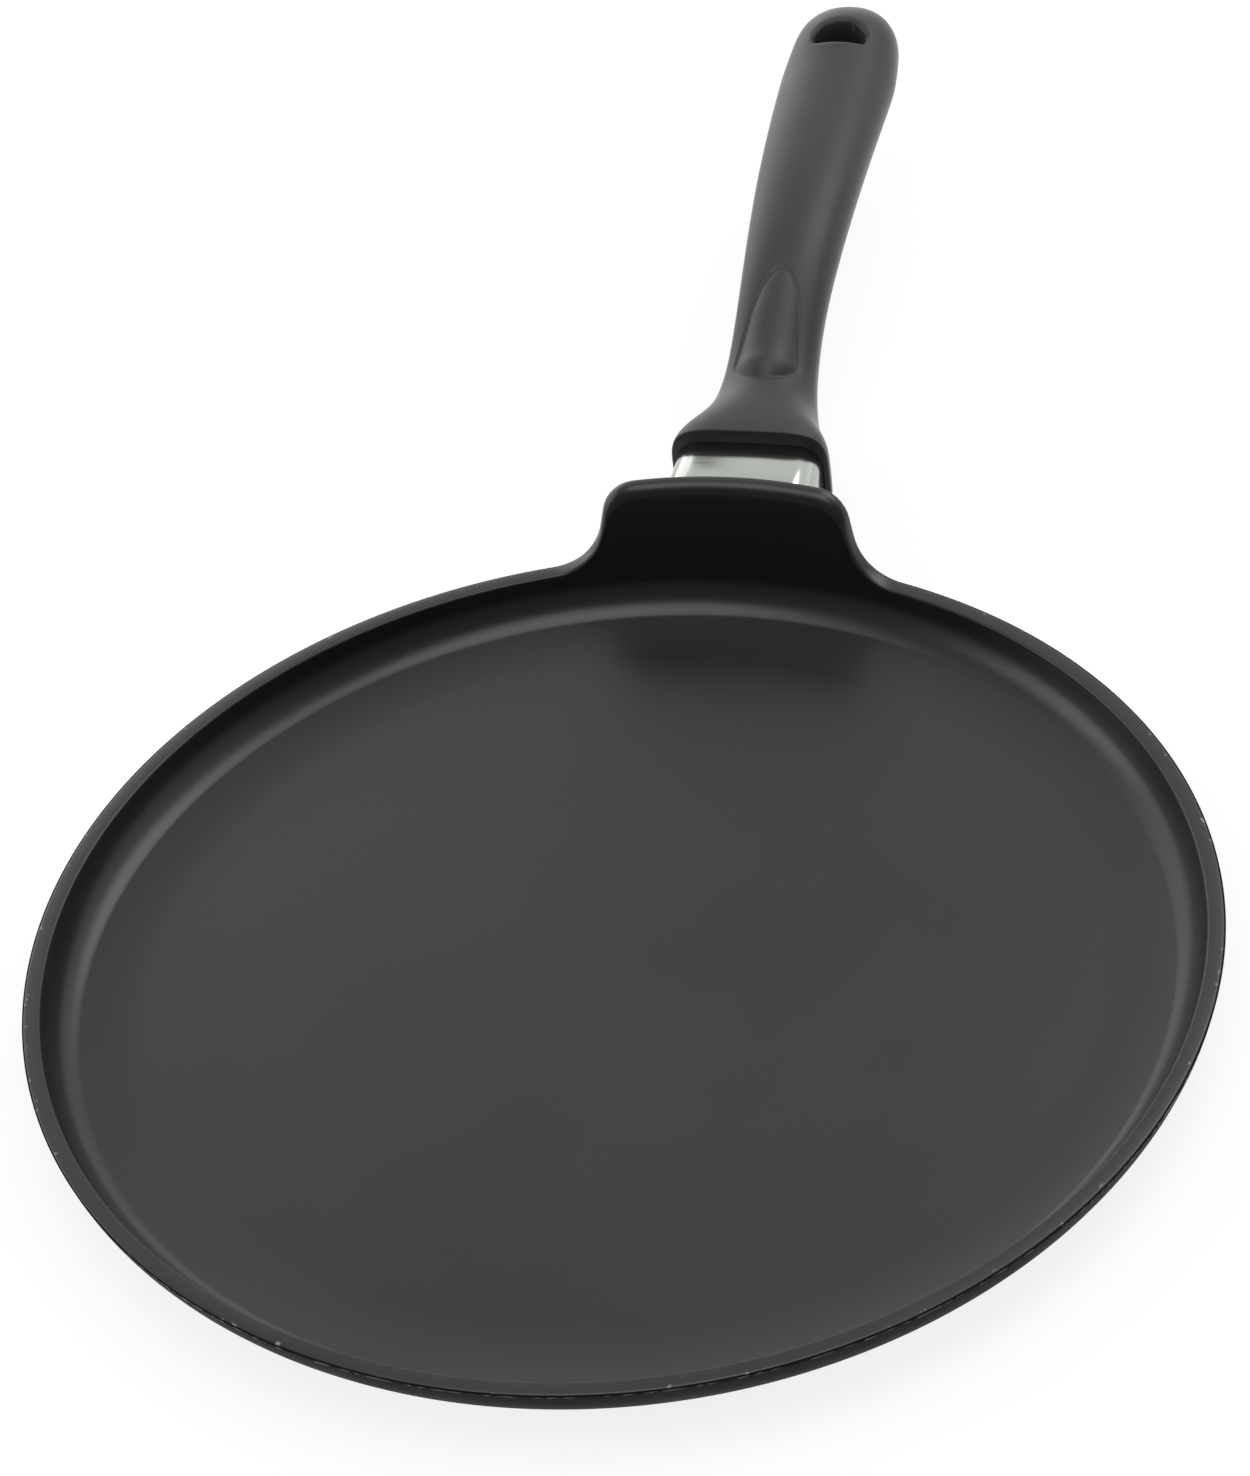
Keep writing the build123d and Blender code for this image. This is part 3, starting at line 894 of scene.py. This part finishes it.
def cut_front(grip):
    """Round the front lip, then sink the rebate for the flame guard."""
    sizes = handle_sizes()
    pick_up(grip)
    bpy.ops.object.mode_set(mode="EDIT")
    select_sharp_edges(lambda first, second: max(first.y, second.y) < GRIP_LOW.y + TINY * 10)
    bpy.ops.mesh.bevel(offset=sizes.lip_round, segments=LIP_SEGMENTS, affect="EDGES")
    bpy.ops.object.mode_set(mode="OBJECT")
    gap = sizes.rebate_clearance * 2
    width = sizes.guard_width + gap
    flat_height = sizes.guard_height - sizes.guard_crown * 2 + gap
    rebate = rounded_block(
        width,
        flat_height,
        GRIP_LOW.y - MM,
        GRIP_LOW.y + sizes.rebate_depth,
        sizes.guard_corner + sizes.rebate_clearance,
        GUARD_CORNER_SEGMENTS,
    )
    crown_block(width, flat_height, sizes.guard_crown)
    bpy.ops.object.mode_set(mode="OBJECT")
    combine(grip, rebate, "DIFFERENCE")


def cut_access_bore(grip):
    """Bore the way in for the screwdriver, up to the washer's seat."""
    sizes = handle_sizes()
    radius = (WASHER_HIGH.x - WASHER_LOW.x) / 2 + BORE_CLEARANCE
    length = GRIP_HIGH.y - WASHER_LOW.y
    drop_everything()
    bpy.ops.mesh.primitive_cylinder_add(
        vertices=BORE_CORNERS,
        radius=radius,
        depth=length,
        location=(0, WASHER_LOW.y + length / 2, sizes.axis_height),
        rotation=(math.pi / 2, 0, 0),
    )
    combine(grip, bpy.context.object, "DIFFERENCE")


def hole_distance(x, y):
    """How far outside the hanging hole's outline a place is, seen from above."""
    sizes = handle_sizes()
    centre = tip_y() - sizes.hole_to_tip - sizes.hole_length / 2
    corner = sizes.hole_arch_corner if y > centre else sizes.hole_corner
    across = abs(x) - sizes.hole_width / 2 + corner
    along = abs(y - centre) - sizes.hole_length / 2 + corner
    return math.hypot(max(across, 0), max(along, 0)) + min(max(across, along), 0) - corner


def soften_hole_mouth(grip):
    """Let the skin dip round the hanging hole, widely at the arch and closely at the flat."""
    sizes = handle_sizes()
    far = tip_y() - sizes.hole_to_tip
    flat = far - sizes.hole_length

    def dip(place, normal):
        outside = hole_distance(place.x, place.y)
        if normal.z < FACES_UP / 2 or outside > sizes.hole_arch_round:
            return 0.0
        arch_share = ease((place.y - flat) / sizes.hole_length)
        radius = sizes.hole_flat_round + (sizes.hole_arch_round - sizes.hole_flat_round) * arch_share
        left = 1 - min(max(outside, 0) / radius, 1)
        return (1 - math.sqrt(1 - left * left)) * radius / sizes.hole_arch_round

    weigh(grip, "hole_mouth", dip)
    apply_modifier(
        grip,
        "DISPLACE",
        vertex_group="hole_mouth",
        direction="Z",
        strength=-sizes.hole_arch_round,
        mid_level=0,
    )


def cut_hanging_hole(grip):
    """Cut the hanging hole, flat towards the dish and arched towards the tip."""
    sizes = handle_sizes()
    far = tip_y() - sizes.hole_to_tip
    flat = far - sizes.hole_length
    centre = (far + flat) / 2
    drop_everything()
    bpy.ops.mesh.primitive_cube_add(size=1, location=(0, 0, 0))
    tool = bpy.context.object
    bpy.ops.object.mode_set(mode="EDIT")
    bpy.ops.transform.resize(value=(sizes.hole_width, sizes.hole_length, sizes.grip_crest))
    bpy.ops.transform.translate(value=(0, centre, sizes.grip_crest * 0.8))

    def upright(first, second):
        return abs(first.z - second.z) > MM

    select_edges(lambda first, second: upright(first, second) and first.y > centre)
    bpy.ops.mesh.bevel(offset=sizes.hole_arch_corner, segments=HOLE_ARCH_SEGMENTS, affect="EDGES")
    select_edges(lambda first, second: upright(first, second) and first.y < flat + TINY * 10)
    bpy.ops.mesh.bevel(offset=sizes.hole_corner, segments=HOLE_CORNER_SEGMENTS, affect="EDGES")
    bpy.ops.object.mode_set(mode="OBJECT")
    combine(grip, tool, "DIFFERENCE")


class CREPEPAN_OT_grip(bpy.types.Operator):
    """Model the arched grip with its thumb rest and hanging hole"""

    bl_idname = "crepe_pan.grip"
    bl_label = "Grip"

    def execute(self, context):
        grip = build_grip_shell()
        form_thumb_rest(grip)
        soften_hole_mouth(grip)
        cut_front(grip)
        cut_access_bore(grip)
        cut_hanging_hole(grip)
        put_down(grip, "soft_grip", 50, grip_material(), ["handle_grip"])
        return {"FINISHED"}


# Fasteners

class CREPEPAN_OT_fasteners(bpy.types.Operator):
    """Give the screw and its washers their zinc plate"""

    bl_idname = "crepe_pan.fasteners"
    bl_label = "Screw and washers"

    def execute(self, context):
        material = zinc_material()
        for name in ("fixing_screw", "plain_washer", "lock_washer"):
            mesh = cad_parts[name].data
            mesh.materials.clear()
            mesh.materials.append(material)
        return {"FINISHED"}


# Finishes

def effect_group(name, inputs, outputs):
    """Start a shader node group with named inputs and outputs."""
    group = bpy.data.node_groups.new(name, "ShaderNodeTree")
    for label, kind, default in inputs:
        socket = group.interface.new_socket(label, in_out="INPUT", socket_type=kind)
        if default is not None:
            socket.default_value = default
    for label, kind in outputs:
        group.interface.new_socket(label, in_out="OUTPUT", socket_type=kind)
    entry = group.nodes.new("NodeGroupInput")
    exit_node = group.nodes.new("NodeGroupOutput")
    return group, entry, exit_node


def mottle_group():
    """Soft cloudy variation of a colour, with a matching value for roughness."""
    found = bpy.data.node_groups.get("soft_mottle")
    if found:
        return found
    group, entry, leave = effect_group(
        "soft_mottle",
        [
            ("Vector", "NodeSocketVector", None),
            ("Color", "NodeSocketColor", (0.1, 0.1, 0.1, 1)),
            ("Scale", "NodeSocketFloat", 20.0),
            ("Contrast", "NodeSocketFloat", 0.2),
        ],
        [("Color", "NodeSocketColor"), ("Value", "NodeSocketFloat")],
    )
    noise = group.nodes.new("ShaderNodeTexNoise")
    noise.inputs["Detail"].default_value = 5
    noise.inputs["Roughness"].default_value = 0.6
    centred = group.nodes.new("ShaderNodeMath")
    centred.operation = "SUBTRACT"
    centred.inputs[1].default_value = 0.5
    spread = group.nodes.new("ShaderNodeMath")
    spread.operation = "MULTIPLY_ADD"
    spread.inputs[2].default_value = 1.0
    tint = group.nodes.new("ShaderNodeVectorMath")
    tint.operation = "SCALE"
    link = group.links.new
    link(entry.outputs["Vector"], noise.inputs["Vector"])
    link(entry.outputs["Scale"], noise.inputs["Scale"])
    link(noise.outputs["Fac"], centred.inputs[0])
    link(centred.outputs[0], spread.inputs[0])
    link(entry.outputs["Contrast"], spread.inputs[1])
    link(entry.outputs["Color"], tint.inputs[0])
    link(spread.outputs[0], tint.inputs["Scale"])
    link(tint.outputs["Vector"], leave.inputs["Color"])
    link(noise.outputs["Fac"], leave.inputs["Value"])
    return group


def grain_group():
    """Fine even grain as a height, such as on moulded plastic or a sprayed coating."""
    found = bpy.data.node_groups.get("fine_grain")
    if found:
        return found
    group, entry, leave = effect_group(
        "fine_grain",
        [
            ("Vector", "NodeSocketVector", None),
            ("Scale", "NodeSocketFloat", 2000.0),
        ],
        [("Height", "NodeSocketFloat")],
    )
    noise = group.nodes.new("ShaderNodeTexNoise")
    noise.inputs["Detail"].default_value = 2
    link = group.links.new
    link(entry.outputs["Vector"], noise.inputs["Vector"])
    link(entry.outputs["Scale"], noise.inputs["Scale"])
    link(noise.outputs["Fac"], leave.inputs["Height"])
    return group


class Sheet:
    """A node tree being put together, node by node."""

    def __init__(self, tree):
        self.nodes = tree.nodes
        self.links = tree.links

    def join(self, output, target):
        """Link one node's output to another node's input."""
        self.links.new(output, target)

    def axes(self, place):
        """The three coordinates of a place."""
        node = self.nodes.new("ShaderNodeSeparateXYZ")
        self.join(place, node.inputs[0])
        return node.outputs

    def math(self, operation, first, second=None, third=None):
        """One sum. Each term is a number or another node's output."""
        node = self.nodes.new("ShaderNodeMath")
        node.operation = operation
        for index, term in enumerate((first, second, third)):
            if term is None:
                continue
            if isinstance(term, (int, float)):
                node.inputs[index].default_value = term
            else:
                self.join(term, node.inputs[index])
        return node.outputs[0]

    def ramp(self, value, low, high, to_low=0.0, to_high=1.0):
        """Map a value softly from one range onto another, held at its ends."""
        node = self.nodes.new("ShaderNodeMapRange")
        node.interpolation_type = "SMOOTHSTEP"
        self.join(value, node.inputs["Value"])
        for label, number in zip(("From Min", "From Max", "To Min", "To Max"), (low, high, to_low, to_high)):
            node.inputs[label].default_value = number
        return node.outputs["Result"]


class Finish(Sheet):
    """A material being put together."""

    def __init__(self, name):
        self.material = bpy.data.materials.new(name)
        self.material.use_nodes = True
        super().__init__(self.material.node_tree)
        self.shader = self.nodes["Principled BSDF"]
        self.place = self.nodes.new("ShaderNodeTexCoord").outputs["Object"]

    def noise(self, place, scale, detail):
        """Plain noise at a place."""
        node = self.nodes.new("ShaderNodeTexNoise")
        node.inputs["Scale"].default_value = scale
        node.inputs["Detail"].default_value = detail
        self.join(place, node.inputs["Vector"])
        return node.outputs["Fac"]

    def effect(self, group, **values):
        """Place a node group, fed with the place on the object."""
        node = self.nodes.new("ShaderNodeGroup")
        node.node_tree = group
        self.join(self.place, node.inputs["Vector"])
        for label, value in values.items():
            node.inputs[label].default_value = value
        return node

    def cloud(self, colour, scale, contrast):
        """Vary the base colour in soft clouds. The result is the clouds' value."""
        node = self.effect(mottle_group(), Scale=scale, Contrast=contrast, Color=(*colour, 1))
        self.join(node.outputs["Color"], self.shader.inputs["Base Color"])
        return node.outputs["Value"]

    def roughen(self, value, low, high):
        """Let the roughness follow a noise's value."""
        self.join(self.ramp(value, NOISE_LOW, NOISE_HIGH, low, high), self.shader.inputs["Roughness"])

    def grain(self, scale, depth, strength):
        """Cover the surface with a fine even grain."""
        node = self.effect(grain_group(), Scale=scale)
        self.bump(node.outputs["Height"], depth, strength)

    def blend(self, mask, first, second):
        """Mix two colours by a mask."""
        node = self.nodes.new("ShaderNodeMix")
        node.data_type = "RGBA"
        for term, index in ((mask, 0), (first, 6), (second, 7)):
            target = node.inputs[index]
            if isinstance(term, tuple):
                target.default_value = (*term, 1)
            else:
                self.join(term, target)
        return node.outputs[2]

    def bump(self, height, distance, strength):
        """Feed a height into the shader's normal."""
        node = self.nodes.new("ShaderNodeBump")
        node.inputs["Strength"].default_value = strength
        node.inputs["Distance"].default_value = distance
        self.join(height, node.inputs["Height"])
        self.join(node.outputs["Normal"], self.shader.inputs["Normal"])

    def set(self, **values):
        """Set constants on the shader's own sockets."""
        for label, value in values.items():
            self.shader.inputs[label.replace("_", " ")].default_value = value


def wall_depth(finish, axes):
    """How far inside the wall's outer surface each place lies."""
    pan = pan_sizes()
    square = finish.math("MULTIPLY", axes[0], axes[0])
    square = finish.math("MULTIPLY_ADD", axes[1], axes[1], square)
    radius = finish.math("SQRT", square)
    lean = math.tan(pan.wall_lean)
    wall = finish.math("MULTIPLY_ADD", axes[2], lean, pan.rim_radius - pan.height * lean)
    return finish.math("SUBTRACT", wall, radius)


def worn_rim(finish, axes):
    """Where the rim's outer edge is chipped to specks."""
    chips = finish.noise(finish.place, scale=420, detail=4)
    from_top = finish.math("SUBTRACT", axes[2], pan_sizes().height - CHIP_BELOW_RIM)
    from_edge = finish.math("SUBTRACT", wall_depth(finish, axes), CHIP_INSIDE_WALL)
    apart = finish.math("MULTIPLY", from_edge, from_edge)
    apart = finish.math("MULTIPLY_ADD", from_top, from_top, apart)
    near = finish.ramp(finish.math("SQRT", apart), CHIP_CORE, CHIP_REACH, 1.0, 0.0)
    worn = finish.ramp(chips, 0.65, 0.69)
    return finish.math("MULTIPLY", worn, near)


def coating_material():
    """Dark satin coating with a broad soft painted highlight band, chipped at the rim's outer edge."""
    finish = Finish("dark_coating")
    axes = finish.axes(finish.place)
    # pale is the painted highlight's colour, dark is the coating's own colour
    pale = tuple(finishes().coating)
    dark = tuple(channel * OFF_HIGHLIGHT_SHARE for channel in pale)
    cloud = finish.effect(mottle_group(), Scale=13.0, Contrast=0.5)
    across = finish.math("ADD", axes[0], axes[1])
    across = finish.math("MULTIPLY_ADD", cloud.outputs["Value"], PAINTED_HIGHLIGHT_WAVER, across)
    away = finish.math("ABSOLUTE", finish.math("SUBTRACT", across, PAINTED_HIGHLIGHT_PLACE))
    # Painted highlight: pale at the band's core, the coating's own dark colour beyond it
    painted_highlight_band = finish.ramp(away, PAINTED_HIGHLIGHT_CORE, PAINTED_HIGHLIGHT_REACH)
    finish.join(finish.blend(painted_highlight_band, pale, dark), cloud.inputs["Color"])
    chipped = finish.blend(worn_rim(finish, axes), cloud.outputs["Color"], BARE_METAL)
    finish.join(chipped, finish.shader.inputs["Base Color"])
    finish.roughen(cloud.outputs["Value"], 0.30, 0.35)
    finish.grain(1300.0, 0.03 * MM, 0.3)
    finish.set(Metallic=0.0, IOR=1.46)
    return finish.material


def enamel_material():
    """Matt dark enamel outside, with olive clouds and a fine orange peel."""
    finish = Finish("outer_enamel")
    clouds = finish.cloud(finishes().enamel, 30.0, 0.4)
    finish.roughen(clouds, 0.55, 0.65)
    finish.grain(700.0, 0.04 * MM, 0.4)
    finish.set(Metallic=0.0, IOR=1.19)
    return finish.material


def steel_material():
    """Satin steel with fine lines across the sleeve."""
    finish = Finish("satin_steel")
    stretch = finish.nodes.new("ShaderNodeMapping")
    stretch.inputs["Scale"].default_value = BRUSHING
    finish.join(finish.place, stretch.inputs["Vector"])
    lines = finish.noise(stretch.outputs["Vector"], scale=1, detail=3)
    finish.cloud(finishes().steel, 60.0, 0.08)
    finish.roughen(lines, 0.13, 0.18)
    finish.bump(lines, 0.005 * MM, 0.06)
    finish.set(Metallic=1.0)
    return finish.material


def grip_material():
    """Soft-touch grip: dark grey, very fine grain, a little polished by the hand."""
    finish = Finish("soft_touch")
    clouds = finish.cloud(finishes().grip, 22.0, 0.16)
    finish.roughen(clouds, 0.42, 0.48)
    finish.grain(2600.0, 0.03 * MM, 0.3)
    finish.set(Metallic=0.0, IOR=1.42, Sheen_Weight=0.3, Sheen_Roughness=0.3)
    return finish.material


def zinc_material():
    """Bright zinc plate with faint clouds."""
    finish = Finish("zinc_plate")
    clouds = finish.cloud(finishes().zinc, 400.0, 0.3)
    finish.roughen(clouds, 0.22, 0.4)
    finish.set(Metallic=1.0)
    return finish.material


# Stage

def floor_material():
    """Pale floor. The camera sees it lifted towards white, with the shadow kept."""
    finish = Finish("pale_floor")
    finish.cloud(finishes().stage, 3.0, 0.01)
    finish.set(Roughness=0.9)
    glow = finish.nodes.new("ShaderNodeEmission")
    glow.inputs["Strength"].default_value = 1.0
    path = finish.nodes.new("ShaderNodeLightPath")
    seen = finish.math("MAXIMUM", path.outputs["Is Camera Ray"], path.outputs["Is Transmission Ray"])
    seen = finish.math("MAXIMUM", seen, path.outputs["Is Glossy Ray"])
    lift = finish.math("MULTIPLY", seen, FLOOR_LIFT)
    mix = finish.nodes.new("ShaderNodeMixShader")
    finish.join(lift, mix.inputs[0])
    finish.join(finish.shader.outputs[0], mix.inputs[1])
    finish.join(glow.outputs[0], mix.inputs[2])
    finish.join(mix.outputs[0], finish.nodes["Material Output"].inputs["Surface"])
    return finish.material


def add_floor():
    """Lay the pale floor just under the pan."""
    drop_everything()
    bpy.ops.mesh.primitive_plane_add(size=FLOOR_SIZE, location=(0, 0, -FLOOR_GAP))
    floor = bpy.context.object
    floor.name = "pale_floor"
    floor.data.materials.append(floor_material())


def add_lamp(name, place, target, size, power):
    """Hang one soft square lamp and aim it."""
    drop_everything()
    bpy.ops.object.light_add(type="AREA", location=place)
    lamp = bpy.context.object
    lamp.name = name
    lamp.data.size = size
    lamp.data.energy = power
    aim = (Vector(target) - Vector(place)).to_track_quat("-Z", "Y")
    lamp.rotation_euler = aim.to_euler()


class RoomLight(Sheet):
    """The surroundings' brightness, summed up from soft patches of directions."""

    def __init__(self, tree):
        super().__init__(tree)
        self.total = None

    def add(self, *ramps):
        """Add the product of some ramps to the brightness."""
        patch = ramps[0]
        for ramp in ramps[1:]:
            patch = self.math("MULTIPLY", patch, ramp)
        self.total = patch if self.total is None else self.math("ADD", self.total, patch)


def light_world():
    """A pale room, brighter behind and to the left, and darker where the camera stands.

    Each patch is bounded by coordinates of the direction that it is seen in.
    """
    world = bpy.data.worlds.new("pale_room")
    bpy.context.scene.world = world
    world.use_nodes = True
    light = RoomLight(world.node_tree)
    x, y, z = light.axes(light.nodes.new("ShaderNodeTexCoord").outputs["Generated"])
    behind = light.ramp(y, 0.1, 0.6, 0.0, 1.0)
    level = light.ramp(z, 0.60, 0.65, 1.0, 0.0)
    # The room from front to back, a faint glow behind it and a strong one near the horizon
    light.add(light.ramp(y, -0.45, 0.35, 0.32, 0.88))
    light.add(behind, light.ramp(z, 0.62, 0.85, 0.22, 0.0))
    light.add(behind, light.ramp(z, 0.05, 0.35, 0.8, 0.0), light.ramp(x, -0.1, 0.3, 1.0, 0.3))
    # A bright panel behind on the left and a dark upright gap beside it, which the steel mirrors
    light.add(behind, level, light.ramp(x, -0.32, -0.285, 1.0, 0.0))
    gap = light.ramp(x, -0.30, -0.28, 0.0, 1.0)
    light.add(behind, level, gap, light.ramp(x, -0.265, -0.24, -1.0, 0.0))
    # The left wall
    light.add(light.ramp(x, -0.95, -0.55, 0.4, 0.0), light.ramp(y, 0.0, 0.5, 1.0, 0.0))
    back = world.node_tree.nodes["Background"]
    light.join(light.total, back.inputs["Strength"])
    back.inputs["Color"].default_value = ROOM_COLOUR


def add_camera():
    """Set the camera where the photograph was taken from."""
    drop_everything()
    bpy.ops.object.camera_add(location=CAMERA_PLACE)
    camera = bpy.context.object
    camera.name = "photo_camera"
    right = CAMERA_RIGHT.normalized()
    up = -CAMERA_DOWN.normalized()
    back = right.cross(up).normalized()
    up = back.cross(right)
    camera.rotation_euler = Matrix((right, up, back)).transposed().to_euler()
    camera.data.sensor_fit = "AUTO"
    camera.data.sensor_width = SENSOR_MM
    camera.data.lens = FOCAL_LENGTH_PX * SENSOR_MM / IMAGE_HEIGHT_PX
    camera.data.clip_start = 10 * MM
    bpy.context.scene.camera = camera


class CREPEPAN_OT_stage(bpy.types.Operator):
    """Set the floor, the lamps, the surroundings and the camera"""

    bl_idname = "crepe_pan.stage"
    bl_label = "Stage"

    def execute(self, context):
        add_floor()
        light_world()
        for lamp in LAMPS:
            add_lamp(*lamp)
        add_camera()
        context.scene.view_settings.view_transform = "Standard"
        return {"FINISHED"}


class CREPEPAN_PT_panel(bpy.types.Panel):
    """The sidebar panel that lists the pieces."""

    bl_label = "Crepe pan"
    bl_idname = "CREPEPAN_PT_panel"
    bl_space_type = "VIEW_3D"
    bl_region_type = "UI"
    bl_category = "Crepe pan"

    def draw(self, context):
        for operator in PIECES:
            self.layout.operator(operator.bl_idname)
        for group in ("crepe_pan_sizes", "crepe_pan_handle", "crepe_pan_finishes"):
            settings = getattr(context.scene, group)
            for name in settings.bl_rna.properties.keys():
                if name not in ("rna_type", "name"):
                    self.layout.prop(settings, name)


PIECES = (
    CREPEPAN_OT_dish,
    CREPEPAN_OT_flame_guard,
    CREPEPAN_OT_grip,
    CREPEPAN_OT_fasteners,
    CREPEPAN_OT_stage,
)
SETTINGS = {
    "crepe_pan_sizes": CrepePanSizes,
    "crepe_pan_handle": CrepePanHandleSizes,
    "crepe_pan_finishes": CrepePanFinishes,
}


def register():
    for settings in SETTINGS.values():
        bpy.utils.register_class(settings)
    for operator in PIECES:
        bpy.utils.register_class(operator)
    bpy.utils.register_class(CREPEPAN_PT_panel)
    for name, settings in SETTINGS.items():
        setattr(bpy.types.Scene, name, bpy.props.PointerProperty(type=settings))


def unregister():
    for name in SETTINGS:
        delattr(bpy.types.Scene, name)
    bpy.utils.unregister_class(CREPEPAN_PT_panel)
    for operator in reversed(PIECES):
        bpy.utils.unregister_class(operator)
    for settings in reversed(SETTINGS.values()):
        bpy.utils.unregister_class(settings)


def main():
    register()
    bpy.ops.crepe_pan.dish()
    bpy.ops.crepe_pan.flame_guard()
    bpy.ops.crepe_pan.grip()
    bpy.ops.crepe_pan.fasteners()
    bpy.ops.crepe_pan.stage()


if __name__ == "__main__":
    main()
